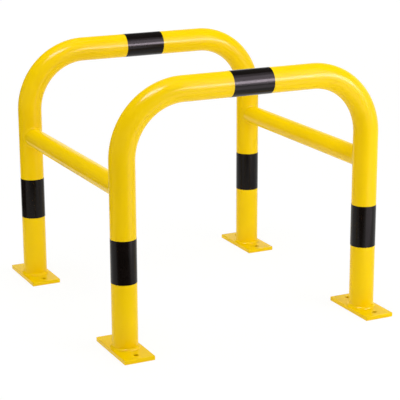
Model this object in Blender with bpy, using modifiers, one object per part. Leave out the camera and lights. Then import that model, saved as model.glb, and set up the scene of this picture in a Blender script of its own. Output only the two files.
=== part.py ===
"""Column protector: two bent tube hoops on foot plates, joined by two cross tubes.

Lengths are in metres and angles in radians. +Z is up, and the origin is on the floor in the middle
of the space that the column fills. X runs along the hoops, and Y runs from the front hoop to the
rear one. Driving sizes come first, and everything else is worked out from them.
"""
import math

import bmesh
import bpy
from mathutils import Vector

# Overall layout
LEG_SPAN = 0.634              # between the two leg axes of one hoop
HOOP_SPACING = 0.606          # between the planes of the front and rear hoops
OVERALL_HEIGHT = 0.626        # floor to the top of a hoop

# Hoops: one length of bent round tube each
HOOP_DIAMETER = 0.0603
HOOP_WALL = 0.0029
BEND_RADIUS = 0.150           # of the tube's centreline

# Cross tubes: thinner round tube, coped to the legs
CROSS_DIAMETER = 0.0483
CROSS_WALL = 0.0026
CROSS_BELOW_BEND = 0.0648     # cross tube axis below the end of the leg's straight stretch

# Foot plates: flat bar with an anchor hole near each end
PLATE_LENGTH = 0.170
PLATE_THICKNESS = 0.010
PLATE_SIDE_MARGIN = 0.00735   # plate beyond the tube on each long side
PLATE_EDGE_ROUND = 0.0008
HOLE_DIAMETER = 0.012
HOLE_INSET = 0.024            # hole centre to the near end of the plate

# Welds
WELD_LEG = 0.005              # weld size, measured along either surface from the corner
WELD_CROWN = 0.0005           # height of the weld's face above a flat one

# Black film bands
BAND_WIDTH = 0.103            # along the tube
BAND_THICKNESS = 0.0004
BAND_BELOW_CROSS = 0.0880     # leg band's upper edge below the underside of the cross tube

# Clearance kept between pieces that touch on the real object
SEAT_GAP = 0.0003

# Fineness of the round shapes
TUBE_SIDES = 32
BEND_STEPS = 8                # straight chords in each quarter bend
WELD_FACE_STEPS = 4           # chords across a weld's face
HOLE_SIDES = 24
EDGE_ROUND_SEGMENTS = 2
MERGE_DISTANCE = 0.00001
CRISP_ANGLE = math.radians(35)

# Derived sizes
HOOP_RADIUS = HOOP_DIAMETER / 2
CROSS_RADIUS = CROSS_DIAMETER / 2
HALF_SPAN = LEG_SPAN / 2
HALF_SPACING = HOOP_SPACING / 2
PLATE_WIDTH = HOOP_DIAMETER + 2 * PLATE_SIDE_MARGIN
HOLE_OFFSET = PLATE_LENGTH / 2 - HOLE_INSET
BAR_HEIGHT = OVERALL_HEIGHT - HOOP_RADIUS
BEND_START = BAR_HEIGHT - BEND_RADIUS
LEG_FOOT = PLATE_THICKNESS + SEAT_GAP
CROSS_HEIGHT = BEND_START - CROSS_BELOW_BEND
BAND_TOP = CROSS_HEIGHT - CROSS_RADIUS - BAND_BELOW_CROSS
BAND_MIDDLE = BAND_TOP - BAND_WIDTH / 2
LEG_CLEARANCE_RADIUS = HOOP_RADIUS + SEAT_GAP
CROSS_CLEARANCE_RADIUS = CROSS_RADIUS + SEAT_GAP

# Colours are linear RGB
COAT_COLOUR = (0.85, 0.55, 0.008)
WELD_COLOUR = (0.83, 0.53, 0.008)
FILM_COLOUR = (0.012, 0.008, 0.009)
COAT_ROUGHNESS = 0.32
FILM_ROUGHNESS = 0.14

HOOPS = (("front", -1), ("rear", 1))
SIDES = (("left", -1), ("right", 1))


def clear_scene():
    """Remove whatever the open file holds, so a rerun starts clean."""
    for obj in list(bpy.data.objects):
        bpy.data.objects.remove(obj, do_unlink=True)


def new_collection(name):
    """Return an empty collection of that name, linked to the scene."""
    old = bpy.data.collections.get(name)
    if old:
        bpy.data.collections.remove(old)
    collection = bpy.data.collections.new(name)
    bpy.context.scene.collection.children.link(collection)
    return collection


def new_material(name, colour, roughness, metallic=0.0):
    """Return a Principled material."""
    material = bpy.data.materials.new(name)
    material.use_nodes = True
    shader = material.node_tree.nodes["Principled BSDF"]
    shader.inputs["Base Color"].default_value = (*colour, 1.0)
    shader.inputs["Roughness"].default_value = roughness
    shader.inputs["Metallic"].default_value = metallic
    material.diffuse_color = (*colour, 1.0)
    return material


def new_empty(name, collection, location=(0, 0, 0), parent=None):
    """Return an empty that carries other objects."""
    empty = bpy.data.objects.new(name, None)
    empty.empty_display_size = HOOP_RADIUS
    empty.location = location
    empty.parent = parent
    collection.objects.link(empty)
    return empty


def new_object(name, data, collection, location=(0, 0, 0), rotation=(0, 0, 0), parent=None):
    """Return a placed object made of that mesh or curve."""
    obj = bpy.data.objects.new(name, data)
    obj.location = location
    obj.rotation_euler = rotation
    obj.parent = parent
    collection.objects.link(obj)
    return obj


def coat(obj):
    """Give a piece its own yellow powder coat."""
    obj.data.materials.append(new_material(f"{obj.name}_coat", COAT_COLOUR, COAT_ROUGHNESS))


def mesh_from(name, bm):
    """Turn a bmesh into a smooth-shaded mesh whose corners stay crisp."""
    mesh = bpy.data.meshes.new(name)
    bm.to_mesh(mesh)
    bm.free()
    mesh.shade_smooth()
    mesh.set_sharp_from_angle(angle=CRISP_ANGLE)
    return mesh


def cylinder_mesh(name, radius, length, sides, capped):
    """Return a cylinder along Z, centred on the origin."""
    bm = bmesh.new()
    bmesh.ops.create_cone(
        bm, cap_ends=capped, segments=sides, radius1=radius, radius2=radius, depth=length
    )
    return mesh_from(name, bm)


def add_wall(obj, thickness, outwards=False):
    """Turn an open skin into a wall of even thickness."""
    wall = obj.modifiers.new("wall", "SOLIDIFY")
    wall.thickness = thickness
    wall.offset = 1.0 if outwards else -1.0
    wall.use_even_offset = True


def cut(obj, cutter):
    """Cut a piece with a cutter, through a live Boolean."""
    boolean = obj.modifiers.new(f"cut_{cutter.name}", "BOOLEAN")
    boolean.operation = "DIFFERENCE"
    boolean.solver = "EXACT"
    boolean.object = cutter


def crisp_edges_group():
    """Return a node group that shades faces smooth and keeps sharp edges crisp."""
    group = bpy.data.node_groups.new("crisp_edges", "GeometryNodeTree")
    group.interface.new_socket("Geometry", in_out="INPUT", socket_type="NodeSocketGeometry")
    group.interface.new_socket("Geometry", in_out="OUTPUT", socket_type="NodeSocketGeometry")
    nodes = group.nodes
    entry = nodes.new("NodeGroupInput")
    exit_node = nodes.new("NodeGroupOutput")
    smooth_faces = nodes.new("GeometryNodeSetShadeSmooth")
    smooth_faces.domain = "FACE"
    crisp = nodes.new("GeometryNodeSetShadeSmooth")
    crisp.domain = "EDGE"
    crisp.inputs["Shade Smooth"].default_value = False
    edge_angle = nodes.new("GeometryNodeInputMeshEdgeAngle")
    is_corner = nodes.new("FunctionNodeCompare")
    is_corner.data_type = "FLOAT"
    is_corner.operation = "GREATER_THAN"
    is_corner.inputs["B"].default_value = CRISP_ANGLE
    link = group.links.new
    link(entry.outputs["Geometry"], smooth_faces.inputs["Geometry"])
    link(smooth_faces.outputs["Geometry"], crisp.inputs["Geometry"])
    link(edge_angle.outputs["Unsigned Angle"], is_corner.inputs["A"])
    link(is_corner.outputs["Result"], crisp.inputs["Selection"])
    link(crisp.outputs["Geometry"], exit_node.inputs["Geometry"])
    return group


def shade_crisp(objects):
    """End each piece's modifiers with smooth shading between crisp edges."""
    group = crisp_edges_group()
    for obj in objects:
        modifier = obj.modifiers.new("crisp_edges", "NODES")
        modifier.node_group = group


def hoop_path():
    """Return the hoop's centreline in its own plane, from the left foot to the right one."""
    bend_centre = Vector((-HALF_SPAN + BEND_RADIUS, 0, BEND_START))
    left_half = [Vector((-HALF_SPAN, 0, LEG_FOOT))]
    for step in range(BEND_STEPS + 1):
        angle = math.pi - math.pi / 2 * step / BEND_STEPS
        spoke = Vector((math.cos(angle), 0, math.sin(angle)))
        left_half.append(bend_centre + BEND_RADIUS * spoke)
    right_half = [Vector((-point.x, 0, point.z)) for point in reversed(left_half)]
    return left_half + right_half


def swept_curve(name, points, radius, sides):
    """Return a curve that sweeps an open round skin along straight chords."""
    curve = bpy.data.curves.new(name, "CURVE")
    curve.dimensions = "3D"
    curve.bevel_depth = radius
    curve.bevel_resolution = (sides - 4) // 2
    curve.use_fill_caps = False
    spline = curve.splines.new("POLY")
    spline.points.add(len(points) - 1)
    for spline_point, point in zip(spline.points, points):
        spline_point.co = (*point, 1.0)
    return curve


def add_hoop(name, parts, parent):
    """Add one bent tube with a true wall, open at both feet."""
    curve = swept_curve(name, hoop_path(), HOOP_RADIUS, TUBE_SIDES)
    hoop = new_object(name, curve, parts, parent=parent)
    add_wall(hoop, HOOP_WALL)
    coat(hoop)
    return hoop


def add_hole_cutter(name, location, cutters, parent):
    """Add the cutter of one anchor hole."""
    depth = 3 * PLATE_THICKNESS
    mesh = cylinder_mesh(name, HOLE_DIAMETER / 2, depth, HOLE_SIDES, capped=True)
    return new_object(name, mesh, cutters, location=location, parent=parent)


def add_foot_plate(name, x, parts, cutters, parent):
    """Add one foot plate of flat bar with an anchor hole near each end."""
    bm = bmesh.new()
    bmesh.ops.create_cube(bm, size=1.0)
    bmesh.ops.scale(bm, vec=(PLATE_WIDTH, PLATE_LENGTH, PLATE_THICKNESS), verts=bm.verts)
    middle = (x, 0, PLATE_THICKNESS / 2)
    plate = new_object(name, mesh_from(name, bm), parts, location=middle, parent=parent)
    rounding = plate.modifiers.new("edge_round", "BEVEL")
    rounding.width = PLATE_EDGE_ROUND
    rounding.segments = EDGE_ROUND_SEGMENTS
    rounding.limit_method = "ANGLE"
    for end, direction in (("near", -1), ("far", 1)):
        hole = (x, direction * HOLE_OFFSET, PLATE_THICKNESS / 2)
        cut(plate, add_hole_cutter(f"{name}_{end}_hole", hole, cutters, parent))
    coat(plate)
    return plate


def fillet_section(corner, first_toe, second_toe):
    """Return a fillet weld's flat outline: down its crowned face, then back to the corner."""
    corner, first_toe, second_toe = Vector(corner), Vector(first_toe), Vector(second_toe)
    face = second_toe - first_toe
    outwards = Vector((-face.y, face.x)).normalized()
    if outwards.dot(first_toe - corner) < 0:
        outwards.negate()
    section = []
    for step in range(WELD_FACE_STEPS + 1):
        share = step / WELD_FACE_STEPS
        crown = WELD_CROWN * math.sin(math.pi * share)
        section.append(first_toe + face * share + outwards * crown)
    section.append(corner)
    return section


def foot_weld_section():
    """Return the foot weld's section as distances from the leg's axis and the floor."""
    corner = (LEG_CLEARANCE_RADIUS, LEG_FOOT)
    leg_toe = (LEG_CLEARANCE_RADIUS, PLATE_THICKNESS + WELD_LEG)
    plate_toe = (HOOP_RADIUS + WELD_LEG, LEG_FOOT)
    return fillet_section(corner, leg_toe, plate_toe)


def add_foot_weld(name, x, parts, parent):
    """Add the fillet ring between one leg and its plate, turned from its section."""
    bm = bmesh.new()
    corners = [bm.verts.new((radius, 0, height)) for radius, height in foot_weld_section()]
    for first, second in zip(corners, corners[1:] + corners[:1]):
        bm.edges.new((first, second))
    mesh = bpy.data.meshes.new(name)
    bm.to_mesh(mesh)
    bm.free()
    weld = new_object(name, mesh, parts, location=(x, 0, 0), parent=parent)
    turn = weld.modifiers.new("turn", "SCREW")
    turn.axis = "Z"
    turn.angle = 2 * math.pi
    turn.steps = TUBE_SIDES
    turn.render_steps = TUBE_SIDES
    turn.use_merge_vertices = True
    turn.merge_threshold = MERGE_DISTANCE
    weld.data.materials.append(new_material(f"{name}_coat", WELD_COLOUR, COAT_ROUGHNESS))
    return weld


def add_band(name, location, rotation, parts, parent):
    """Add one sleeve of black film round a tube."""
    mesh = cylinder_mesh(name, LEG_CLEARANCE_RADIUS, BAND_WIDTH, TUBE_SIDES, capped=False)
    band = new_object(name, mesh, parts, location=location, rotation=rotation, parent=parent)
    add_wall(band, BAND_THICKNESS, outwards=True)
    band.data.materials.append(new_material(f"{name}_film", FILM_COLOUR, FILM_ROUGHNESS))
    return band


def add_cope_cutter(name, x, y, cutters, parent):
    """Add a cutter that clears one leg by the seat gap."""
    length = CROSS_DIAMETER + 4 * WELD_LEG
    mesh = cylinder_mesh(name, LEG_CLEARANCE_RADIUS, length, TUBE_SIDES, capped=True)
    return new_object(name, mesh, cutters, location=(x, y, CROSS_HEIGHT), parent=parent)


def add_cross_tube(name, x, cope_cutters, parts, parent):
    """Add one cross tube, coped to the round legs at both ends."""
    mesh = cylinder_mesh(name, CROSS_RADIUS, HOOP_SPACING, TUBE_SIDES, capped=False)
    along_y = (math.pi / 2, 0, 0)
    middle = (x, 0, CROSS_HEIGHT)
    tube = new_object(name, mesh, parts, location=middle, rotation=along_y, parent=parent)
    add_wall(tube, CROSS_WALL)
    for cutter in cope_cutters:
        cut(tube, cutter)
    coat(tube)
    return tube


def rail_weld_section(angle):
    """Return the rail weld's section at one angle round the cross tube.

    It is given as distances from the cross tube's axis and, along that axis, from the leg's.
    """
    across = math.cos(angle)

    def leg_skin(radius):
        return math.sqrt(LEG_CLEARANCE_RADIUS ** 2 - (radius * across) ** 2)

    corner = (CROSS_CLEARANCE_RADIUS, leg_skin(CROSS_CLEARANCE_RADIUS))
    tube_toe = (CROSS_CLEARANCE_RADIUS, corner[1] + WELD_LEG)
    skin_slope = math.atan2(CROSS_RADIUS * across ** 2, leg_skin(CROSS_RADIUS))
    toe_radius = CROSS_RADIUS + WELD_LEG * math.cos(skin_slope)
    leg_toe = (toe_radius, leg_skin(toe_radius))
    return fillet_section(corner, tube_toe, leg_toe)


def add_rail_weld(name, place, towards, parts, parent):
    """Add the saddle-shaped fillet ring where a cross tube meets a leg.

    Its section changes all the way round, so it is lofted from one section to the next.
    towards is 1 for a tube that leaves the leg along +Y, and -1 for one along -Y.
    """
    bm = bmesh.new()
    rings = []
    for step in range(TUBE_SIDES):
        angle = 2 * math.pi * step / TUBE_SIDES
        spoke = Vector((math.cos(angle), 0, math.sin(angle)))
        along = Vector((0, towards, 0))
        section = rail_weld_section(angle)
        rings.append([bm.verts.new(spoke * radius + along * reach) for radius, reach in section])
    for here, there in zip(rings, rings[1:] + rings[:1]):
        for index in range(len(here)):
            previous = index - 1
            bm.faces.new((here[previous], here[index], there[index], there[previous]))
    bmesh.ops.recalc_face_normals(bm, faces=bm.faces)
    weld = new_object(name, mesh_from(name, bm), parts, location=place, parent=parent)
    weld.data.materials.append(new_material(f"{name}_coat", WELD_COLOUR, COAT_ROUGHNESS))
    return weld


def build_hoop_set(hoop_name, direction, parts, cutters, parent):
    """Build one hoop with its plates, foot welds and bands."""
    across = (0, math.pi / 2, 0)
    carrier = new_empty(f"{hoop_name}_set", parts, (0, direction * HALF_SPACING, 0), parent)
    pieces = [add_hoop(f"hoop_{hoop_name}", parts, carrier)]
    top = (0, 0, BAR_HEIGHT)
    pieces.append(add_band(f"band_{hoop_name}_top", top, across, parts, carrier))
    for side_name, side in SIDES:
        corner = f"{hoop_name}_{side_name}"
        x = side * HALF_SPAN
        pieces.append(add_foot_plate(f"foot_plate_{corner}", x, parts, cutters, carrier))
        pieces.append(add_foot_weld(f"foot_weld_{corner}", x, parts, carrier))
        on_leg = (x, 0, BAND_MIDDLE)
        pieces.append(add_band(f"band_{corner}_leg", on_leg, (0, 0, 0), parts, carrier))
    return pieces


def build_side(side_name, side, parts, cutters, parent):
    """Build one cross tube and its two rail welds."""
    x = side * HALF_SPAN
    leg_cutters = []
    welds = []
    for hoop_name, direction in HOOPS:
        corner = f"{hoop_name}_{side_name}"
        y = direction * HALF_SPACING
        leg_cutters.append(add_cope_cutter(f"leg_{corner}", x, y, cutters, parent))
        place = (x, y, CROSS_HEIGHT)
        welds.append(add_rail_weld(f"rail_weld_{corner}", place, -direction, parts, parent))
    tube = add_cross_tube(f"cross_tube_{side_name}", x, leg_cutters, parts, parent)
    return [tube] + welds


def main():
    clear_scene()
    parts = new_collection("column_protector")
    cutters = new_collection("cutters")
    origin = new_empty("column_protector_origin", parts)
    pieces = []
    for hoop_name, direction in HOOPS:
        pieces += build_hoop_set(hoop_name, direction, parts, cutters, origin)
    for side_name, side in SIDES:
        pieces += build_side(side_name, side, parts, cutters, origin)
    shade_crisp(pieces)
    for cutter in cutters.objects:
        cutter.hide_render = True
        cutter.display_type = "WIRE"
    bpy.context.view_layer.update()


main()
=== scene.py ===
"""Looks of the column protector: coated tubes and foot plates, weld beads and film bands.

The file is laid out as an add-on. Each operator dresses one group of like pieces, in place of the
plain solids of the frame, and the last one sets the stage. Lengths are in metres.
"""

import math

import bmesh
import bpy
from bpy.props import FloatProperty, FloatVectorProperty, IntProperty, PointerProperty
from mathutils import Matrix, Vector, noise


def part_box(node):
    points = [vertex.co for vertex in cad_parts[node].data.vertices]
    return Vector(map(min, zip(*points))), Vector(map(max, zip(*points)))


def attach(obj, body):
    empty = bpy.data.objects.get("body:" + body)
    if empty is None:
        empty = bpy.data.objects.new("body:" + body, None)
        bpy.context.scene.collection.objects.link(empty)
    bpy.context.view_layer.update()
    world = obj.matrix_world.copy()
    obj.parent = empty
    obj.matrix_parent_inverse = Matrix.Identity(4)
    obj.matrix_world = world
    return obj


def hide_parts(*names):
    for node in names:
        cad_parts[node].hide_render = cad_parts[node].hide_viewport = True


bl_info = {
    "name": "Column Protector",
    "version": (1, 0, 0),
    "blender": (4, 5, 0),
    "location": "3D View > Sidebar > Protector",
    "description": "Dresses a welded tube guard with powder coat, weld beads and film bands",
    "category": "Object",
}

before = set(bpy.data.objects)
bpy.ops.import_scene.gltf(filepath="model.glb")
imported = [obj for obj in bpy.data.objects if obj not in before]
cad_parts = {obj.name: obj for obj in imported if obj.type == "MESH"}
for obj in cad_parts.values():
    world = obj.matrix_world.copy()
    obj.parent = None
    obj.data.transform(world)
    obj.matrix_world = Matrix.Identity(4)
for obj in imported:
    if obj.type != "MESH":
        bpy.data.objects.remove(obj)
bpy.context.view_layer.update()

# Each hoop's direction along Y, each side's along X, and both for each corner
HOOPS = (("front", -1), ("rear", 1))
SIDES = (("left", -1), ("right", 1))
CORNERS = [(f"{hoop}_{side}", x, y) for hoop, y in HOOPS for side, x in SIDES]

# Tubes and bands stand this far off what they touch, and weld beads sink into it as far
FIT_GAP = 0.00005
MERGE_DISTANCE = 0.000001

# Edges sharper than these stay crisp
CRISP_ANGLE = math.radians(35)
BEAD_CRISP_ANGLE = math.radians(60)

# Steps of the round shapes
PLATE_CORNER_STEPS = 6
PLATE_EDGE_STEPS = 4
HOLE_SIDES = 64
BAND_STEPS = 240
STEPS_PER_RIPPLE = 8
BEAD_FACE_STEPS = 10

# The painted shade of a hole reaches out over this share of its rounded rim
BORE_RIM_SHARE = 1 / 3

# Ripples bow along the bead by this share of their pitch
RIPPLE_BOW = 0.9
# Lumps of the bead are about 5 mm long, and range over twice the height of a ripple
LUMP_SCALE = 200.0
LUMP_RANGE = 2
# How fast the bead's width wanders round its ring
WANDER_SCALE = 2.3

# The film's end climbs onto its start over this share of the overlap
LAP_RISE = 0.15


def node_size(node):
    """Return the edges of a node's box."""
    low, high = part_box(node)
    return high - low


def node_middle(node):
    """Return the middle of a node's box."""
    low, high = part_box(node)
    return (low + high) / 2


# Sizes read from the frame, used as defaults
TUBE_DIAMETER = node_size("hoop_front").y
LEG_SPAN = node_size("hoop_front").x - TUBE_DIAMETER
HOOP_SPACING = node_middle("hoop_rear").y - node_middle("hoop_front").y
BAR_HEIGHT = node_middle("band_front_top").z
CROSS_DIAMETER = node_size("cross_tube_left").z
CROSS_HEIGHT = node_middle("cross_tube_left").z
PLATE_SIZE = node_size("foot_plate_front_left")
WELD_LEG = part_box("foot_weld_front_left")[1].z - PLATE_SIZE.z
BAND_WIDTH = node_size("band_front_top").x
LEG_BAND_HEIGHT = node_middle("band_front_left_leg").z


class ProtectorTubes(bpy.types.PropertyGroup):
    """Sizes of the hoops and the cross tubes."""

    tube_diameter: FloatProperty(
        name="Hoop tube diameter", description="Outer diameter of the bent tube",
        default=TUBE_DIAMETER, min=0.02, unit="LENGTH",
    )
    tube_wall: FloatProperty(
        name="Hoop tube wall", description="Wall thickness of the bent tube",
        default=0.0029, min=0.001, unit="LENGTH",
    )
    leg_span: FloatProperty(
        name="Leg span", description="Distance between the two leg axes of a hoop",
        default=LEG_SPAN, min=0.2, unit="LENGTH",
    )
    hoop_spacing: FloatProperty(
        name="Hoop spacing", description="Distance between the planes of the two hoops",
        default=HOOP_SPACING, min=0.2, unit="LENGTH",
    )
    bar_height: FloatProperty(
        name="Bar height", description="Height of the top bar's axis above the floor",
        default=BAR_HEIGHT, min=0.2, unit="LENGTH",
    )
    bend_radius: FloatProperty(
        name="Bend radius", description="Radius of the tube's centreline in its two bends",
        default=0.150, min=0.05, unit="LENGTH",
    )
    cross_diameter: FloatProperty(
        name="Cross tube diameter", description="Outer diameter of the cross tubes",
        default=CROSS_DIAMETER, min=0.01, unit="LENGTH",
    )
    cross_wall: FloatProperty(
        name="Cross tube wall", description="Wall thickness of the cross tubes",
        default=0.0026, min=0.001, unit="LENGTH",
    )
    cross_height: FloatProperty(
        name="Cross tube height", description="Height of the cross tubes' axes above the floor",
        default=CROSS_HEIGHT, min=0.05, unit="LENGTH",
    )
    sides: IntProperty(
        name="Sides", description="Sides of the round tubes", default=96, min=12,
    )
    bend_steps: IntProperty(
        name="Bend steps", description="Straight steps in each quarter bend", default=48, min=4,
    )


class ProtectorPlates(bpy.types.PropertyGroup):
    """Sizes of the foot plates."""

    length: FloatProperty(
        name="Length", description="Length of the flat bar",
        default=PLATE_SIZE.y, min=0.05, unit="LENGTH",
    )
    width: FloatProperty(
        name="Width", description="Width of the flat bar",
        default=PLATE_SIZE.x, min=0.03, unit="LENGTH",
    )
    thickness: FloatProperty(
        name="Thickness", description="Thickness of the flat bar",
        default=PLATE_SIZE.z, min=0.002, unit="LENGTH",
    )
    edge_round: FloatProperty(
        name="Edge rounding", description="Radius of the coated edges and hole rims",
        default=0.0011, min=0.0001, unit="LENGTH",
    )
    corner_round: FloatProperty(
        name="Corner rounding", description="Radius of the four upright corners",
        default=0.0022, min=0.0005, unit="LENGTH",
    )
    hole_diameter: FloatProperty(
        name="Hole diameter", description="Diameter of the anchor holes",
        default=0.012, min=0.004, unit="LENGTH",
    )
    hole_inset: FloatProperty(
        name="Hole inset", description="Hole centre to the near end of the plate",
        default=0.024, min=0.005, unit="LENGTH",
    )


class ProtectorWelds(bpy.types.PropertyGroup):
    """Sizes of the weld beads."""

    leg: FloatProperty(
        name="Weld size", description="Width of the bead along each surface that it joins",
        default=WELD_LEG, min=0.001, unit="LENGTH",
    )
    crown: FloatProperty(
        name="Crown", description="Height of the bead's face above a flat one",
        default=0.0005, min=0.0, unit="LENGTH",
    )
    ripple_pitch: FloatProperty(
        name="Ripple pitch", description="Distance from one ripple of the bead to the next",
        default=0.0026, min=0.0005, unit="LENGTH",
    )
    ripple_height: FloatProperty(
        name="Ripple height", description="Height of a ripple under the coat",
        default=0.00022, min=0.0, unit="LENGTH",
    )
    unevenness: FloatProperty(
        name="Unevenness", description="How much the bead's width wanders, as a share of it",
        default=0.10, min=0.0, max=0.5, subtype="FACTOR",
    )


class ProtectorBands(bpy.types.PropertyGroup):
    """Sizes of the film bands."""

    width: FloatProperty(
        name="Width", description="Width of a band along its tube",
        default=BAND_WIDTH, min=0.01, unit="LENGTH",
    )
    leg_height: FloatProperty(
        name="Leg band height", description="Height of a leg band's middle above the floor",
        default=LEG_BAND_HEIGHT, min=0.03, unit="LENGTH",
    )
    film: FloatProperty(
        name="Film thickness", description="Thickness of the film",
        default=0.0002, min=0.00005, unit="LENGTH",
    )
    overlap: FloatProperty(
        name="Overlap", description="Length by which the film's end laps over its start",
        default=0.012, min=0.002, unit="LENGTH",
    )


class ProtectorFinish(bpy.types.PropertyGroup):
    """Colours and gloss."""

    coat_colour: FloatVectorProperty(
        name="Coat colour", description="Colour of the powder coat",
        subtype="COLOR", size=3, default=(0.91, 0.605, 0.0), min=0.0, max=1.0,
    )
    coat_roughness: FloatProperty(
        name="Coat roughness", description="Roughness of the powder coat",
        default=0.2, min=0.0, max=1.0, subtype="FACTOR",
    )
    coat_specular: FloatProperty(
        name="Coat specular", description="Strength of the reflections in the powder coat",
        default=0.11, min=0.0, max=1.0, subtype="FACTOR",
    )
    coat_gloss_colour: FloatVectorProperty(
        name="Coat gloss colour", description="Tint of the reflections in the powder coat",
        subtype="COLOR", size=3, default=(1.0, 0.6, 1.0), min=0.0, max=1.0,
    )
    film_colour: FloatVectorProperty(
        name="Film colour", description="Colour of the film bands",
        subtype="COLOR", size=3, default=(0.0048, 0.0031, 0.0026), min=0.0, max=1.0,
    )
    film_roughness: FloatProperty(
        name="Film roughness", description="Roughness of the film bands",
        default=0.18, min=0.0, max=1.0, subtype="FACTOR",
    )
    film_specular: FloatProperty(
        name="Film specular", description="Strength of the reflections in the film bands",
        default=0.14, min=0.0, max=1.0, subtype="FACTOR",
    )


class ProtectorStage(bpy.types.PropertyGroup):
    """The floor, the lamps, the world and the camera.

    The lamps named for gloss only show in reflections, and the others only light the surfaces.
    """

    floor_radius: FloatProperty(
        name="Floor radius", description="Radius of the round floor",
        default=60.0, min=5.0, unit="LENGTH",
    )
    floor_colour: FloatVectorProperty(
        name="Floor colour", description="Colour of the floor",
        subtype="COLOR", size=3, default=(0.92, 0.92, 0.92), min=0.0, max=1.0,
    )
    floor_glow: FloatProperty(
        name="Floor glow", description="Share of even white in the floor, which keeps shadows faint",
        default=0.85, min=0.0, max=1.0, subtype="FACTOR",
    )
    key_power: FloatProperty(
        name="Key power", description="Power of the soft box in front, to the right",
        default=12.0, min=0.0, unit="POWER",
    )
    top_power: FloatProperty(
        name="Top power", description="Power of the large soft box overhead",
        default=84.0, min=0.0, unit="POWER",
    )
    side_power: FloatProperty(
        name="Side power", description="Power of the small soft box overhead, to the left",
        default=12.0, min=0.0, unit="POWER",
    )
    key_gloss: FloatProperty(
        name="Key gloss", description="Power of the box that the right front shows in its gloss",
        default=36.0, min=0.0, unit="POWER",
    )
    bar_gloss: FloatProperty(
        name="Bar gloss", description="Power of the strip that draws a streak along the top bars",
        default=40.0, min=0.0, unit="POWER",
    )
    bend_gloss: FloatProperty(
        name="Bend gloss", description="Power of the box that glints in the left bends",
        default=84.0, min=0.0, unit="POWER",
    )
    upper_gloss: FloatProperty(
        name="Upper gloss", description="Power of the dim box above the strip, which widens the streak",
        default=5.3, min=0.0, unit="POWER",
    )
    floor_gloss: FloatProperty(
        name="Floor gloss", description="Power of the bright patch of floor in front, to the right",
        default=5.5, min=0.0, unit="POWER",
    )
    ceiling: FloatProperty(
        name="Ceiling", description="Light from the studio above the white horizon",
        default=0.44, min=0.0, max=1.0, subtype="FACTOR",
    )
    gloss_ceiling: FloatProperty(
        name="Ceiling in gloss", description="Brightness of the same ceiling in reflections",
        default=0.15, min=0.0, max=1.0, subtype="FACTOR",
    )
    wall_colour: FloatVectorProperty(
        name="Wall colour", description="Colour of the light from the studio's walls",
        subtype="COLOR", size=3, default=(1.0, 0.93, 0.86), min=0.0, max=1.0,
    )
    lens: FloatProperty(
        name="Lens", description="Focal length of the camera, in millimetres",
        default=128.126, min=10.0,
    )


class ProtectorSettings(bpy.types.PropertyGroup):
    """All settings of the column protector."""

    tubes: PointerProperty(type=ProtectorTubes)
    plates: PointerProperty(type=ProtectorPlates)
    welds: PointerProperty(type=ProtectorWelds)
    bands: PointerProperty(type=ProtectorBands)
    finish: PointerProperty(type=ProtectorFinish)
    stage: PointerProperty(type=ProtectorStage)


def settings():
    """Return the scene's settings of the column protector."""
    return bpy.context.scene.column_protector


# Node trees

NODE_SPACING = 180


def feed(tree, socket, value):
    """Link a socket to another one, or set it to a plain value."""
    if isinstance(value, bpy.types.NodeSocket):
        tree.links.new(value, socket)
    else:
        socket.default_value = value


def add_node(tree, kind, inputs=None, **own):
    """Add a node, make its own settings and feed its inputs."""
    node = tree.nodes.new(kind)
    node.location = (NODE_SPACING * len(tree.nodes), 0)
    for name, value in own.items():
        setattr(node, name, value)
    for key, value in (inputs or {}).items():
        feed(tree, node.inputs[key], value)
    return node


def maths(tree, operation, *values):
    """Add a Math node and return its result."""
    node = add_node(tree, "ShaderNodeMath", operation=operation)
    for index, value in enumerate(values):
        feed(tree, node.inputs[index], value)
    return node.outputs[0]


def mix(tree, data_type, factor, first, second):
    """Add a Mix node and return its result."""
    node = add_node(tree, "ShaderNodeMix", data_type=data_type)
    for key, value in (("Factor", factor), ("A", first), ("B", second)):
        feed(tree, node.inputs[key], value)
    return node.outputs["Result"]


def object_place(tree):
    """Return the object coordinates."""
    return add_node(tree, "ShaderNodeTexCoord").outputs["Object"]


def new_geometry_tree(name, inputs):
    """Return a geometry tree with named inputs, and the sockets of its entry node."""
    tree = bpy.data.node_groups.new(name, "GeometryNodeTree")
    tree.interface.new_socket("Geometry", in_out="INPUT", socket_type="NodeSocketGeometry")
    for socket_name, kind in inputs.items():
        tree.interface.new_socket(socket_name, in_out="INPUT", socket_type=f"NodeSocket{kind}")
    tree.interface.new_socket("Geometry", in_out="OUTPUT", socket_type="NodeSocketGeometry")
    return tree, add_node(tree, "NodeGroupInput").outputs


def end_geometry_tree(tree, geometry, material):
    """Close a geometry tree: smooth faces, real geometry, and the material."""
    smooth = add_node(tree, "GeometryNodeSetShadeSmooth", {"Geometry": geometry})
    real = add_node(tree, "GeometryNodeRealizeInstances", {"Geometry": smooth.outputs[0]})
    painted = add_node(
        tree, "GeometryNodeSetMaterial", {"Geometry": real.outputs[0], "Material": material}
    )
    add_node(tree, "NodeGroupOutput", {"Geometry": painted.outputs[0]})


def run_tree(obj, tree, values):
    """Put a geometry tree on an object and set its inputs by the sockets' identifiers."""
    modifier = obj.modifiers.new(tree.name, "NODES")
    modifier.node_group = tree
    for socket in tree.interface.items_tree:
        if socket.in_out == "INPUT" and socket.name in values:
            modifier[socket.identifier] = values[socket.name]


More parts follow.
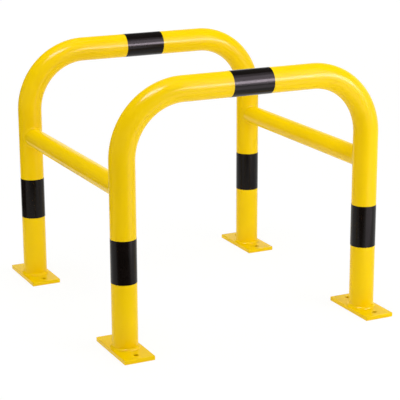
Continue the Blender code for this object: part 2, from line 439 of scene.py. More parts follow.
def swept_tube_tree():
    """Return a tree that rounds a path's corners and sweeps an open round skin along it."""
    tree, entry = new_geometry_tree("swept_tube", {
        "Bend Radius": "Float", "Bend Steps": "Int", "Tube Radius": "Float", "Sides": "Int",
        "Material": "Material",
    })
    bends = add_node(tree, "GeometryNodeFilletCurve", {
        "Curve": entry["Geometry"], "Count": entry["Bend Steps"], "Radius": entry["Bend Radius"],
    }, mode="POLY")
    ring = add_node(tree, "GeometryNodeCurvePrimitiveCircle", {
        "Resolution": entry["Sides"], "Radius": entry["Tube Radius"],
    })
    skin = add_node(tree, "GeometryNodeCurveToMesh", {
        "Curve": bends.outputs[0], "Profile Curve": ring.outputs[0],
    })
    end_geometry_tree(tree, skin.outputs[0], entry["Material"])
    return tree


def coped_ends_tree():
    """Return a tree that shapes both ends of a tube along Y to the round legs that it meets."""
    tree, entry = new_geometry_tree("coped_ends", {
        "Axis X": "Float", "Leg Offset": "Float", "Leg Radius": "Float", "Material": "Material",
    })
    place = add_node(tree, "GeometryNodeInputPosition").outputs[0]
    split = add_node(tree, "ShaderNodeSeparateXYZ", {"Vector": place}).outputs
    aside = maths(tree, "SUBTRACT", split["X"], entry["Axis X"])
    aside_squared = maths(tree, "MULTIPLY", aside, aside)
    radius_squared = maths(tree, "MULTIPLY", entry["Leg Radius"], entry["Leg Radius"])
    leg_skin = maths(tree, "SQRT", maths(tree, "SUBTRACT", radius_squared, aside_squared))
    half_length = maths(tree, "SUBTRACT", entry["Leg Offset"], leg_skin)
    share = maths(tree, "DIVIDE", split["Y"], entry["Leg Offset"])
    along = maths(tree, "MULTIPLY", share, half_length)
    coped = add_node(tree, "ShaderNodeCombineXYZ", {"X": split["X"], "Y": along, "Z": split["Z"]})
    moved = add_node(tree, "GeometryNodeSetPosition", {
        "Geometry": entry["Geometry"], "Position": coped.outputs[0],
    })
    end_geometry_tree(tree, moved.outputs[0], entry["Material"])
    return tree


def rippled_bead_tree():
    """Return a tree that raises a weld bead's face in ripples, which the coat softens.

    The bead carries two attributes: ripple counts the ripples round it, and face_share runs from
    0 at one toe of its face to 1 at the other.
    """
    tree, entry = new_geometry_tree("rippled_bead", {
        "Ripple Height": "Float", "Lumpiness": "Float", "Seed": "Float", "Material": "Material",
    })
    ripple = add_node(tree, "GeometryNodeInputNamedAttribute", {"Name": "ripple"}).outputs[0]
    share = add_node(tree, "GeometryNodeInputNamedAttribute", {"Name": "face_share"}).outputs[0]
    across = maths(tree, "SINE", maths(tree, "MULTIPLY", share, math.pi))
    bowed = maths(tree, "MULTIPLY_ADD", across, RIPPLE_BOW, ripple)
    crest = maths(tree, "ABSOLUTE", maths(tree, "SINE", maths(tree, "MULTIPLY", bowed, math.pi)))
    lumps = add_node(tree, "ShaderNodeTexNoise", {
        "W": entry["Seed"], "Scale": LUMP_SCALE, "Detail": 1.0,
    }, noise_dimensions="4D").outputs[0]
    centred_lumps = maths(tree, "SUBTRACT", lumps, 0.5)
    height = maths(tree, "MULTIPLY", crest, entry["Ripple Height"])
    height = maths(tree, "MULTIPLY_ADD", centred_lumps, entry["Lumpiness"], height)
    height = maths(tree, "MULTIPLY", height, across)
    normal = add_node(tree, "GeometryNodeInputNormal").outputs[0]
    lift = add_node(tree, "ShaderNodeVectorMath", {0: normal, "Scale": height}, operation="SCALE")
    moved = add_node(tree, "GeometryNodeSetPosition", {
        "Geometry": entry["Geometry"], "Offset": lift.outputs[0],
    })
    end_geometry_tree(tree, moved.outputs[0], entry["Material"])
    return tree


# Materials

# Factors that hold the middle of a noise texture's spread
NOISE_LOW, NOISE_HIGH = 0.3, 0.7

# Both finishes show the same fine orange peel, the film more faintly
PEEL_LENGTH = 0.0017

# Shades are factors on a colour, swings are added to a roughness, and the rest is in metres
COAT_CLOUD_LENGTH = 0.09
COAT_SHADES = (0.975, 1.02)
# Painted shade: the coat's colour inside the anchor holes is darkened by this factor
BORE_PAINTED_SHADE = 0.85
COAT_GLOSS_LENGTH = 0.018
COAT_GLOSS_SWING = (-0.03, 0.03)
COAT_WAVE_LENGTH, COAT_WAVE_DEPTH = 0.016, 0.00001
COAT_PEEL_DEPTH = 0.000006

FILM_CLOUD_LENGTH = 0.03
FILM_SHADES = (0.85, 1.25)
FILM_RUB_LENGTH = 0.006
FILM_RUB_SWING = (-0.03, 0.05)
FILM_WAVE_LENGTH, FILM_WAVE_DEPTH = 0.012, 0.00002
FILM_PEEL_DEPTH = 0.000005


def new_material(name):
    """Return a new material, its node tree, and the Principled shader on its output."""
    material = bpy.data.materials.new(name)
    material.use_nodes = True
    tree = material.node_tree
    return material, tree, tree.nodes["Principled BSDF"]


def noise_field(tree, place, wavelength, detail=2.0):
    """Add a noise texture whose blotches are about one wavelength across."""
    return add_node(tree, "ShaderNodeTexNoise", {
        "Vector": place, "Scale": 1.0 / wavelength, "Detail": detail,
    }).outputs["Fac"]


def between(tree, factor, low, high):
    """Map a noise factor's middle range onto a range of values."""
    return add_node(tree, "ShaderNodeMapRange", {
        "Value": factor, "From Min": NOISE_LOW, "From Max": NOISE_HIGH,
        "To Min": low, "To Max": high,
    }).outputs[0]


def bump(tree, height, depth, below=None):
    """Add a bump of that depth, on top of another one if there is one below."""
    node = add_node(tree, "ShaderNodeBump", {"Height": height, "Strength": 1.0, "Distance": depth})
    if below is not None:
        tree.links.new(below, node.inputs["Normal"])
    return node.outputs[0]


def peel_on_waves(tree, place, wave_length, wave_depth, peel_depth):
    """Return a normal with fine orange peel on slow waves."""
    waves = bump(tree, noise_field(tree, place, wave_length, detail=1.0), wave_depth)
    return bump(tree, noise_field(tree, place, PEEL_LENGTH), peel_depth, waves)


def shade_of(colour, factor):
    """Return a colour made darker or lighter by a factor, with alpha."""
    return (*[min(1.0, part * factor) for part in colour], 1.0)


def clouded(tree, place, cloud_length, colour, shades):
    """Return a colour that drifts between two shades of it, in clouds of that length."""
    cloud = noise_field(tree, place, cloud_length, detail=3.0)
    darker, lighter = [shade_of(colour, factor) for factor in shades]
    return mix(tree, "RGBA", between(tree, cloud, 0.0, 1.0), darker, lighter)


def powder_coat(name):
    """Return the yellow powder coat: orange peel, slow waves, and slight changes of tone.

    It is darker in the holes, where the piece's hole mask is 1: painted shade.
    """
    finish = settings().finish
    material, tree, shader = new_material(name)
    place = object_place(tree)
    tone = clouded(tree, place, COAT_CLOUD_LENGTH, finish.coat_colour, COAT_SHADES)
    # Painted shade: where the hole mask is 1, the coat takes a darker shade of its colour
    bore = add_node(tree, "ShaderNodeAttribute", attribute_name="bore").outputs["Fac"]
    colour = mix(tree, "RGBA", bore, tone, shade_of(finish.coat_colour, BORE_PAINTED_SHADE))
    tree.links.new(colour, shader.inputs["Base Color"])
    gloss = noise_field(tree, place, COAT_GLOSS_LENGTH)
    low, high = [finish.coat_roughness + swing for swing in COAT_GLOSS_SWING]
    tree.links.new(between(tree, gloss, low, high), shader.inputs["Roughness"])
    peel = peel_on_waves(tree, place, COAT_WAVE_LENGTH, COAT_WAVE_DEPTH, COAT_PEEL_DEPTH)
    tree.links.new(peel, shader.inputs["Normal"])
    shader.inputs["Specular IOR Level"].default_value = finish.coat_specular
    shader.inputs["Specular Tint"].default_value = (*finish.coat_gloss_colour, 1.0)
    return material


def black_film(name):
    """Return the glossy black film: it shows the coat's peel faintly, and fine rub marks."""
    finish = settings().finish
    material, tree, shader = new_material(name)
    place = object_place(tree)
    tone = clouded(tree, place, FILM_CLOUD_LENGTH, finish.film_colour, FILM_SHADES)
    tree.links.new(tone, shader.inputs["Base Color"])
    rubs = noise_field(tree, place, FILM_RUB_LENGTH, detail=4.0)
    low, high = [finish.film_roughness + swing for swing in FILM_RUB_SWING]
    tree.links.new(between(tree, rubs, low, high), shader.inputs["Roughness"])
    peel = peel_on_waves(tree, place, FILM_WAVE_LENGTH, FILM_WAVE_DEPTH, FILM_PEEL_DEPTH)
    tree.links.new(peel, shader.inputs["Normal"])
    shader.inputs["Specular IOR Level"].default_value = finish.film_specular
    return material


def shared(builder, name):
    """Return the material of that name, built on first use."""
    return bpy.data.materials.get(name) or builder(name)


# Pieces

def new_object(name, data):
    """Return a new object in the scene, at the origin."""
    obj = bpy.data.objects.new(name, data)
    bpy.context.scene.collection.objects.link(obj)
    return obj


def baked(obj, name):
    """Replace an object and its modifiers with one plain mesh object."""
    depsgraph = bpy.context.evaluated_depsgraph_get()
    mesh = bpy.data.meshes.new_from_object(obj.evaluated_get(depsgraph))
    bpy.data.objects.remove(obj)
    mesh.name = name
    return new_object(name, mesh)


def check_closed(obj):
    """Raise an error if a piece isn't one closed skin with its faces outwards."""
    bm = bmesh.new()
    bm.from_mesh(obj.data)
    open_edges = sum(not edge.is_manifold for edge in bm.edges)
    volume = bm.calc_volume(signed=True)
    bm.free()
    if open_edges or volume <= 0:
        raise RuntimeError(f"{obj.name} has {open_edges} open edges and a volume of {volume:.3g}")


def finish_piece(obj, node, crisp_angle=CRISP_ANGLE):
    """Shade a piece, check it and let it stand for its node."""
    obj.data.shade_smooth()
    obj.data.set_sharp_from_angle(angle=crisp_angle)
    check_closed(obj)
    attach(obj, "root")
    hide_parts(node)


def path_object(name, points):
    """Return a curve object of straight runs through the points."""
    curve = bpy.data.curves.new(name, "CURVE")
    curve.dimensions = "3D"
    spline = curve.splines.new("POLY")
    spline.points.add(len(points) - 1)
    for spline_point, point in zip(spline.points, points):
        spline_point.co = (*point, 1.0)
    return new_object(name, curve)


def mesh_object_from(name, bm):
    """Return an object made of a bmesh."""
    mesh = bpy.data.meshes.new(name)
    bm.to_mesh(mesh)
    bm.free()
    return new_object(name, mesh)


def add_wall(obj, thickness, offset=-1.0):
    """Turn an open skin into a wall of even thickness."""
    wall = obj.modifiers.new("wall", "SOLIDIFY")
    wall.thickness = thickness
    wall.offset = offset
    wall.use_even_offset = True


def add_hoop(hoop, direction, tree):
    """Sweep one hoop from its left foot to its right one."""
    tubes = settings().tubes
    foot = settings().plates.thickness + FIT_GAP
    x, y = tubes.leg_span / 2, direction * tubes.hoop_spacing / 2
    corners = [(-x, y, foot), (-x, y, tubes.bar_height), (x, y, tubes.bar_height), (x, y, foot)]
    obj = path_object("hoop_path", corners)
    run_tree(obj, tree, {
        "Bend Radius": tubes.bend_radius, "Bend Steps": tubes.bend_steps,
        "Tube Radius": tubes.tube_diameter / 2, "Sides": tubes.sides,
        "Material": shared(powder_coat, "yellow_powder_coat"),
    })
    obj = baked(obj, "hoop_skin")
    add_wall(obj, tubes.tube_wall)
    finish_piece(baked(obj, f"coated_hoop_{hoop}"), f"hoop_{hoop}")


def add_cross_tube(side, direction, sweep, cope):
    """Sweep one cross tube and cope its ends to the legs."""
    tubes = settings().tubes
    x, y = direction * tubes.leg_span / 2, tubes.hoop_spacing / 2
    coat = shared(powder_coat, "yellow_powder_coat")
    obj = path_object("cross_path", [(x, -y, tubes.cross_height), (x, y, tubes.cross_height)])
    run_tree(obj, sweep, {
        "Bend Radius": 0.0, "Bend Steps": 1, "Tube Radius": tubes.cross_diameter / 2,
        "Sides": tubes.sides, "Material": coat,
    })
    obj = baked(obj, "cross_skin")
    add_wall(obj, tubes.cross_wall)
    run_tree(obj, cope, {
        "Axis X": x, "Leg Offset": y, "Leg Radius": tubes.tube_diameter / 2 + FIT_GAP,
        "Material": coat,
    })
    finish_piece(baked(obj, f"coated_cross_tube_{side}"), f"cross_tube_{side}")


def rounded_rectangle(width, length, radius, steps):
    """Return the outline of a rectangle with rounded corners, anticlockwise."""
    points = []
    for quarter, (x, y) in enumerate(((1, 1), (-1, 1), (-1, -1), (1, -1))):
        centre = Vector((x * (width / 2 - radius), y * (length / 2 - radius)))
        for step in range(steps + 1):
            angle = math.pi / 2 * (quarter + step / steps)
            points.append(centre + radius * Vector((math.cos(angle), math.sin(angle))))
    return points


def circle(centre_y, radius, sides):
    """Return a round outline on the plate's middle line."""
    turn = 2 * math.pi / sides
    return [
        Vector((radius * math.cos(turn * i), centre_y + radius * math.sin(turn * i)))
        for i in range(sides)
    ]


def add_foot_plate(corner, x, y):
    """Make one foot plate as a flat outline with two holes and rounded rims."""
    tubes, plates = settings().tubes, settings().plates
    curve = bpy.data.curves.new("plate_outline", "CURVE")
    curve.dimensions = "2D"
    curve.fill_mode = "BOTH"
    curve.extrude = plates.thickness / 2 - plates.edge_round
    curve.bevel_depth = plates.edge_round
    curve.bevel_resolution = PLATE_EDGE_STEPS
    curve.offset = -plates.edge_round
    hole_offset = plates.length / 2 - plates.hole_inset
    hole_radius = plates.hole_diameter / 2
    outlines = [
        rounded_rectangle(plates.width, plates.length, plates.corner_round, PLATE_CORNER_STEPS),
        circle(-hole_offset, hole_radius, HOLE_SIDES),
        circle(hole_offset, hole_radius, HOLE_SIDES),
    ]
    for outline in outlines:
        spline = curve.splines.new("POLY")
        spline.use_cyclic_u = True
        spline.points.add(len(outline) - 1)
        for spline_point, point in zip(spline.points, outline):
            spline_point.co = (*point, 0.0, 1.0)
    obj = baked(new_object("plate_outline", curve), f"coated_foot_plate_{corner}")
    place = (x * tubes.leg_span / 2, y * tubes.hoop_spacing / 2, plates.thickness / 2)
    obj.data.transform(Matrix.Translation(place))
    bm = bmesh.new()
    bm.from_mesh(obj.data)
    bmesh.ops.remove_doubles(bm, verts=bm.verts, dist=MERGE_DISTANCE)
    # Mark the faces in the holes and on their rims, which get painted shade in the coat
    bore = bm.faces.layers.float.new("bore")
    bore_reach = hole_radius + plates.edge_round * BORE_RIM_SHARE
    for face in bm.faces:
        aside = face.calc_center_median() - Vector(place)
        face[bore] = float(math.hypot(aside.x, abs(aside.y) - hole_offset) < bore_reach)
    bm.to_mesh(obj.data)
    bm.free()
    obj.data.materials.clear()
    obj.data.materials.append(shared(powder_coat, "yellow_powder_coat"))
    finish_piece(obj, f"foot_plate_{corner}", crisp_angle=math.pi)
    obj.modifiers.new("flat_faces", "WEIGHTED_NORMAL")


def fillet_section(corner, first_toe, second_toe, crown, steps):
    """Return a fillet's outline: down its crowned face from toe to toe, then the corner."""
    corner, first_toe, second_toe = Vector(corner), Vector(first_toe), Vector(second_toe)
    face = second_toe - first_toe
    outwards = Vector((-face.y, face.x)).normalized()
    if outwards.dot(first_toe - corner) < 0:
        outwards.negate()
    section = []
    for step in range(steps + 1):
        share = step / steps
        section.append(first_toe + face * share + outwards * crown * math.sin(math.pi * share))
    section.append(corner)
    return section


def wandering(size, angle, seed):
    """Return a weld size that wanders smoothly round its ring."""
    place = Vector((math.cos(angle), math.sin(angle), seed)) * WANDER_SCALE
    return size * (1 + settings().welds.unevenness * noise.noise(place))


def foot_weld_section(angle, seed, steps):
    """Return the foot weld's section, as distances from the leg's axis and from the floor."""
    tubes, plates, welds = settings().tubes, settings().plates, settings().welds
    leg = wandering(welds.leg, angle, seed)
    skin, top = tubes.tube_diameter / 2 - FIT_GAP, plates.thickness - FIT_GAP
    return fillet_section((skin, top), (skin, top + leg), (skin + leg, top), welds.crown, steps)


def rail_weld_section(angle, seed, steps):
    """Return the rail weld's section at one angle round the cross tube.

    It is given as distances from the cross tube's axis and, along that axis, from the leg's.
    """
    tubes, welds = settings().tubes, settings().welds
    leg = wandering(welds.leg, angle, seed)
    leg_radius = tubes.tube_diameter / 2 - FIT_GAP
    tube_skin = tubes.cross_diameter / 2 - FIT_GAP
    across = math.cos(angle)

    def leg_skin(radius):
        return math.sqrt(leg_radius ** 2 - (radius * across) ** 2)

    corner = (tube_skin, leg_skin(tube_skin))
    slope = math.atan2(tube_skin * across ** 2, leg_skin(tube_skin))
    toe_radius = tube_skin + leg * math.cos(slope)
    first_toe = (tube_skin, corner[1] + leg)
    return fillet_section(corner, first_toe, (toe_radius, leg_skin(toe_radius)), welds.crown, steps)


def add_bead(name, node, section_at, place_at, seam_radius, seed, tree):
    """Loft one weld bead round a closed seam and raise its ripples.

    section_at gives the section at an angle, and place_at turns a point of it into a place.
    """
    welds = settings().welds
    ripples = round(2 * math.pi * seam_radius / welds.ripple_pitch)
    steps = ripples * STEPS_PER_RIPPLE
    bm = bmesh.new()
    ripple = bm.verts.layers.float.new("ripple")
    face_share = bm.verts.layers.float.new("face_share")
    rings = []
    for step in range(steps):
        angle = 2 * math.pi * step / steps
        ring = []
        for index, (radius, reach) in enumerate(section_at(angle, seed, BEAD_FACE_STEPS)):
            vert = bm.verts.new(place_at(angle, radius, reach))
            vert[ripple] = step / STEPS_PER_RIPPLE
            vert[face_share] = index / BEAD_FACE_STEPS if index <= BEAD_FACE_STEPS else 0.0
            ring.append(vert)
        rings.append(ring)
    for here, there in zip(rings, rings[1:] + rings[:1]):
        for index in range(len(here)):
            previous = index - 1
            bm.faces.new((here[previous], here[index], there[index], there[previous]))
    bmesh.ops.recalc_face_normals(bm, faces=bm.faces)
    obj = mesh_object_from("bead", bm)
    run_tree(obj, tree, {
        "Ripple Height": welds.ripple_height, "Lumpiness": LUMP_RANGE * welds.ripple_height,
        "Seed": float(seed), "Material": shared(powder_coat, "yellow_coat_on_weld"),
    })
    obj = baked(obj, name)
    for attribute in ("ripple", "face_share"):
        obj.data.attributes.remove(obj.data.attributes[attribute])
    finish_piece(obj, node, crisp_angle=BEAD_CRISP_ANGLE)


def add_foot_weld(corner, x, y, seed, tree):
    """Make the bead between one leg and its plate."""
    tubes = settings().tubes
    axis = Vector((x * tubes.leg_span / 2, y * tubes.hoop_spacing / 2, 0))

    def place_at(angle, radius, reach):
        return axis + Vector((radius * math.cos(angle), radius * math.sin(angle), reach))

    add_bead(
        f"foot_bead_{corner}", f"foot_weld_{corner}", foot_weld_section, place_at,
        tubes.tube_diameter / 2, seed, tree,
    )


def add_rail_weld(corner, x, y, seed, tree):
    """Make the saddle bead where a cross tube meets a leg."""
    tubes = settings().tubes
    axis = Vector((x * tubes.leg_span / 2, y * tubes.hoop_spacing / 2, tubes.cross_height))

    def place_at(angle, radius, reach):
        return axis + Vector((radius * math.cos(angle), -y * reach, radius * math.sin(angle)))

    add_bead(
        f"rail_bead_{corner}", f"rail_weld_{corner}", rail_weld_section, place_at,
        tubes.cross_diameter / 2, seed, tree,
    )


def add_band(name, node, middle, across, seam_angle):
    """Wrap one film band round its tube, with a lapped seam.

    The film starts at the low radius, and its end climbs to the high one to lie on its start.
    """
    tubes, bands = settings().tubes, settings().bands
    low = tubes.tube_diameter / 2 + FIT_GAP
    high = low + bands.film + FIT_GAP
    lap = bands.overlap / low
    rise = LAP_RISE * lap
    total = 2 * math.pi + lap
    bm = bmesh.new()
    rows = []
    for step in range(BAND_STEPS + 1):
        angle = total * step / BAND_STEPS
        climb = min(1.0, max(0.0, (angle - (2 * math.pi - rise)) / rise))
        radius = low + (high - low) * climb * climb * (3 - 2 * climb)
        turn = seam_angle + angle
        flat = Vector((radius * math.cos(turn), radius * math.sin(turn), 0))
        half = Vector((0, 0, bands.width / 2))
        rows.append((bm.verts.new(flat - half), bm.verts.new(flat + half)))
    for here, there in zip(rows, rows[1:]):
        bm.faces.new((here[0], there[0], there[1], here[1]))
    if across:
        bmesh.ops.rotate(bm, verts=bm.verts, matrix=Matrix.Rotation(math.pi / 2, 3, "Y"))
    bmesh.ops.translate(bm, verts=bm.verts, vec=middle)
    obj = mesh_object_from("film", bm)
    obj.data.materials.append(shared(black_film, "black_gloss_film"))
    add_wall(obj, bands.film, offset=1.0)
    finish_piece(baked(obj, name), node)


# Stage

FLOOR_SIDES = 128
# The floor's own white grows from one level to the other between two distances from the middle
FLOOR_REACH = (1.0, 5.0)
FLOOR_LEVELS = (1.02, 1.1)

# Sines of the elevations where the white horizon starts to fade and where the ceiling is even
LIGHT_FADE = (0.05, 0.6)
GLOSS_FADE = (0.28, 0.42)

PART_AIM = (0.0, 0.0, 0.35)
BAR_AIM = (0.2, -0.2, 0.9)

# Each soft box: its name, the setting of its power, its place, what it faces, and its size
LIGHT_BOXES = (
    ("key_box", "key_power", (1.04, -1.38, 1.0), BAR_AIM, (1.0, 1.7)),
    ("top_box", "top_power", (-0.2, 0.25, 4.0), PART_AIM, (3.0, 2.2)),
    ("side_box", "side_power", (-1.25, -1.25, 4.0), PART_AIM, (1.0, 0.55)),
)
GLOSS_BOXES = (
    ("key_gloss", "key_gloss", (0.96, -1.41, 1.2), BAR_AIM, (1.0, 1.9)),
    ("bar_gloss", "bar_gloss", (0.88, -1.38, 0.88), BAR_AIM, (1.1, 0.45)),
    ("upper_gloss", "upper_gloss", (0.65, -1.0, 2.2), BAR_AIM, (1.2, 0.7)),
    ("bend_gloss", "bend_gloss", (-0.7, -0.76, 2.44), PART_AIM, (1.15, 0.48)),
    ("floor_gloss", "floor_gloss", (0.65, -1.25, 0.004), (0.65, -1.25, 1.0), (0.9, 0.9)),
)
COOL_WHITE = (0.9, 1.0, 1.0)
PINK_WHITE = (1.0, 0.86, 0.98)

CARD_COLOUR = (0.02, 0.02, 0.02, 1.0)
# Two cards lie just above the floor, in front to the left and behind to the left
CARD_HEIGHT = 0.003
CARD_OUTLINES = (
    ((0.0, -0.62), (-0.75, -0.45), (-1.1, -0.37), (-4.0, -0.6), (-4.0, -3.5), (0.02, -3.5)),
    ((-0.92, 0.28), (-0.62, 0.85), (-0.5, 3.0), (-4.0, 3.0), (-4.0, 0.4)),
)
# The third one stands behind, to the left
BACK_CARD = ((-3.5, 2.5, 0.1), (0.0, 2.5, 0.1), (0.0, 2.5, 4.0), (-3.5, 2.5, 4.0))

# Angles are in radians, and the sensor's width in millimetres
CAMERA_PLACE = (-1.49797, -3.12326, 1.20013)
CAMERA_HEADING = 0.4530
CAMERA_PITCH = 0.2696
CAMERA_ROLL = -0.0041
SENSOR_WIDTH = 36.0


def seen_directly(tree):
    """Return 1 for what the camera sees, straight or by way of gloss or glass, and 0 for light."""
    rays = add_node(tree, "ShaderNodeLightPath").outputs
    seen = maths(tree, "MAXIMUM", rays["Is Camera Ray"], rays["Is Glossy Ray"])
    return maths(tree, "MAXIMUM", seen, rays["Is Transmission Ray"])


def add_floor():
    """Lay a pale round floor: white in view and in reflections, with faint soft shadows.

    Its own white grows a little with distance, where less of the lamps' light lands.
    """
    stage = settings().stage
    bm = bmesh.new()
    bmesh.ops.create_circle(bm, cap_ends=True, segments=FLOOR_SIDES, radius=stage.floor_radius)
    floor = mesh_object_from("studio_floor", bm)
    material = bpy.data.materials.new("studio_floor")
    material.use_nodes = True
    tree = material.node_tree
    tree.nodes.clear()
    share = maths(tree, "MULTIPLY", seen_directly(tree), stage.floor_glow)
    diffuse = add_node(tree, "ShaderNodeBsdfDiffuse", {"Color": (*stage.floor_colour, 1.0)})
    place = object_place(tree)
    reach = add_node(tree, "ShaderNodeVectorMath", {0: place}, operation="LENGTH").outputs["Value"]
    level = add_node(tree, "ShaderNodeMapRange", {
        "Value": reach, "From Min": FLOOR_REACH[0], "From Max": FLOOR_REACH[1],
        "To Min": FLOOR_LEVELS[0], "To Max": FLOOR_LEVELS[1],
    }).outputs[0]
    glow = add_node(tree, "ShaderNodeEmission", {"Strength": level})
    look = add_node(tree, "ShaderNodeMixShader", {
        0: share, 1: diffuse.outputs[0], 2: glow.outputs[0],
    })
    add_node(tree, "ShaderNodeOutputMaterial", {"Surface": look.outputs[0]})
    floor.data.materials.append(material)


def set_world():
    """Light the scene with a studio that is white at the horizon and dimmer overhead.

    It is plain white where it is seen or mirrored, and a little warm as light, as pale walls are.
    """
    stage = settings().stage
    world = bpy.data.worlds.new("studio")
    bpy.context.scene.world = world
    world.use_nodes = True
    tree = world.node_tree
    direction = add_node(tree, "ShaderNodeTexCoord").outputs["Generated"]
    height = add_node(tree, "ShaderNodeSeparateXYZ", {"Vector": direction}).outputs["Z"]
    seen = seen_directly(tree)
    levels = []
    for (start, end), ceiling in ((LIGHT_FADE, stage.ceiling), (GLOSS_FADE, stage.gloss_ceiling)):
        levels.append(add_node(tree, "ShaderNodeMapRange", {
            "Value": height, "From Min": start, "From Max": end, "To Min": 1.0, "To Max": ceiling,
        }, interpolation_type="SMOOTHSTEP").outputs[0])
    background = tree.nodes["Background"].inputs
    tree.links.new(mix(tree, "FLOAT", seen, *levels), background["Strength"])
    colour = mix(tree, "RGBA", seen, (*stage.wall_colour, 1.0), (1.0, 1.0, 1.0, 1.0))
    tree.links.new(colour, background["Color"])


def add_lamp(name, place, aim, size, power, colour, in_gloss):
    """Hang a rectangular soft box that stays out of view.

    It either lights the surfaces or shows only in their gloss, so that each can be set alone.
    """
    data = bpy.data.lights.new(name, "AREA")
    data.shape = "RECTANGLE"
    data.size, data.size_y = size
    data.energy = power
    data.color = colour
    lamp = new_object(name, data)
    lamp.location = place
    lamp.rotation_euler = (Vector(place) - Vector(aim)).to_track_quat("Z", "Y").to_euler()
    lamp.visible_camera = False
    lamp.visible_diffuse = not in_gloss
    lamp.visible_glossy = in_gloss


def add_lamps():
    """Hang the soft boxes that light the part, then those that its gloss shows."""
    stage = settings().stage
    for name, power, place, aim, size in LIGHT_BOXES:
        add_lamp(name, place, aim, size, getattr(stage, power), COOL_WHITE, in_gloss=False)
    for name, power, place, aim, size in GLOSS_BOXES:
        add_lamp(name, place, aim, size, getattr(stage, power), PINK_WHITE, in_gloss=True)


def add_dark_cards():
    """Set black cards round the frame that show only in the gloss.

    They leave dark stripes along the tubes, as the unlit sides of a studio do.
    """
    outlines = [[(x, y, CARD_HEIGHT) for x, y in outline] for outline in CARD_OUTLINES]
    bm = bmesh.new()
    for outline in (*outlines, BACK_CARD):
        bm.faces.new([bm.verts.new(corner) for corner in outline])
    cards = mesh_object_from("dark_cards", bm)
    material, _, shader = new_material("dark_card")
    shader.inputs["Base Color"].default_value = CARD_COLOUR
    shader.inputs["Specular IOR Level"].default_value = 0.0
    cards.data.materials.append(material)
    cards.visible_camera = False
    cards.visible_diffuse = False
    cards.visible_shadow = False
    cards.visible_transmission = False


def add_camera():
    """Set the camera at the viewing angle of the picture."""
    data = bpy.data.cameras.new("camera")
    data.lens = settings().stage.lens
    data.sensor_width = SENSOR_WIDTH
    camera = new_object("camera", data)
    turn = Matrix.Rotation(-CAMERA_HEADING, 4, "Z")
    tilt = Matrix.Rotation(math.pi / 2 - CAMERA_PITCH, 4, "X")
    roll = Matrix.Rotation(CAMERA_ROLL, 4, "Z")
    camera.matrix_world = Matrix.Translation(CAMERA_PLACE) @ turn @ tilt @ roll
    bpy.context.scene.camera = camera


class PROTECTOR_OT_add_hoops(bpy.types.Operator):
    """Add the two bent tube hoops"""

    bl_idname = "protector.add_hoops"
    bl_label = "Add Hoops"

    def execute(self, context):
        tree = swept_tube_tree()
        for hoop, direction in HOOPS:
            add_hoop(hoop, direction, tree)
        return {"FINISHED"}


class PROTECTOR_OT_add_cross_tubes(bpy.types.Operator):
    """Add the two cross tubes, coped to the legs"""

    bl_idname = "protector.add_cross_tubes"
    bl_label = "Add Cross Tubes"

    def execute(self, context):
        sweep, cope = swept_tube_tree(), coped_ends_tree()
        for side, direction in SIDES:
            add_cross_tube(side, direction, sweep, cope)
        return {"FINISHED"}


class PROTECTOR_OT_add_foot_plates(bpy.types.Operator):
    """Add the four drilled foot plates"""

    bl_idname = "protector.add_foot_plates"
    bl_label = "Add Foot Plates"

    def execute(self, context):
        for corner, x, y in CORNERS:
            add_foot_plate(corner, x, y)
        return {"FINISHED"}


class PROTECTOR_OT_add_welds(bpy.types.Operator):
    """Add the weld beads at the feet and at the ends of the cross tubes"""

    bl_idname = "protector.add_welds"
    bl_label = "Add Weld Beads"

    def execute(self, context):
        tree = rippled_bead_tree()
        for seed, (corner, x, y) in enumerate(CORNERS):
            add_foot_weld(corner, x, y, seed, tree)
            add_rail_weld(corner, x, y, seed + len(CORNERS), tree)
        return {"FINISHED"}


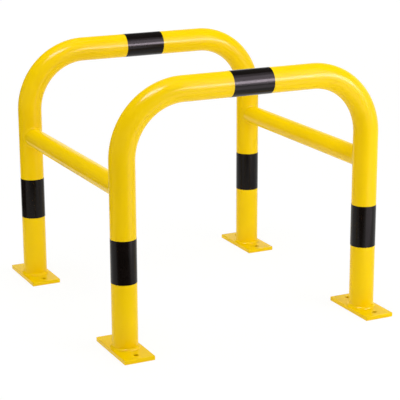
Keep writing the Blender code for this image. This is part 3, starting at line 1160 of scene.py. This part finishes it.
class PROTECTOR_OT_add_bands(bpy.types.Operator):
    """Wrap the black film bands round the legs and the top bars"""

    bl_idname = "protector.add_bands"
    bl_label = "Add Film Bands"

    def execute(self, context):
        tubes, bands = settings().tubes, settings().bands
        for corner, x, y in CORNERS:
            middle = (x * tubes.leg_span / 2, y * tubes.hoop_spacing / 2, bands.leg_height)
            seam = math.atan2(-y, -x)
            add_band(f"film_band_{corner}_leg", f"band_{corner}_leg", middle, False, seam)
        for hoop, y in HOOPS:
            middle = (0, y * tubes.hoop_spacing / 2, tubes.bar_height)
            add_band(f"film_band_{hoop}_top", f"band_{hoop}_top", middle, True, 0.0)
        return {"FINISHED"}


class PROTECTOR_OT_set_stage(bpy.types.Operator):
    """Set the floor, the world, the lamps, the dark cards and the camera"""

    bl_idname = "protector.set_stage"
    bl_label = "Set Stage"

    def execute(self, context):
        context.scene.view_settings.view_transform = "Standard"
        add_floor()
        set_world()
        add_lamps()
        add_dark_cards()
        add_camera()
        return {"FINISHED"}


class VIEW3D_PT_column_protector(bpy.types.Panel):
    """Settings and operators of the column protector"""

    bl_label = "Column Protector"
    bl_space_type = "VIEW_3D"
    bl_region_type = "UI"
    bl_category = "Protector"

    def draw(self, context):
        chosen = context.scene.column_protector
        for group_name in ("tubes", "plates", "welds", "bands", "finish", "stage"):
            box = self.layout.box()
            box.label(text=group_name.capitalize())
            group = getattr(chosen, group_name)
            for setting in group.__annotations__:
                box.prop(group, setting)
        for operator in OPERATORS:
            self.layout.operator(operator.bl_idname)


SETTINGS = (
    ProtectorTubes, ProtectorPlates, ProtectorWelds, ProtectorBands, ProtectorFinish,
    ProtectorStage, ProtectorSettings,
)
OPERATORS = (
    PROTECTOR_OT_add_hoops, PROTECTOR_OT_add_cross_tubes, PROTECTOR_OT_add_foot_plates,
    PROTECTOR_OT_add_welds, PROTECTOR_OT_add_bands, PROTECTOR_OT_set_stage,
)
CLASSES = (*SETTINGS, *OPERATORS, VIEW3D_PT_column_protector)


def register():
    """Register the classes and the scene's settings."""
    for cls in CLASSES:
        bpy.utils.register_class(cls)
    bpy.types.Scene.column_protector = PointerProperty(type=ProtectorSettings)


def unregister():
    """Remove the scene's settings and the classes."""
    del bpy.types.Scene.column_protector
    for cls in reversed(CLASSES):
        bpy.utils.unregister_class(cls)


def main():
    """Dress the part and set the stage."""
    register()
    bpy.ops.protector.add_hoops()
    bpy.ops.protector.add_cross_tubes()
    bpy.ops.protector.add_foot_plates()
    bpy.ops.protector.add_welds()
    bpy.ops.protector.add_bands()
    bpy.ops.protector.set_stage()


if __name__ == "__main__":
    main()
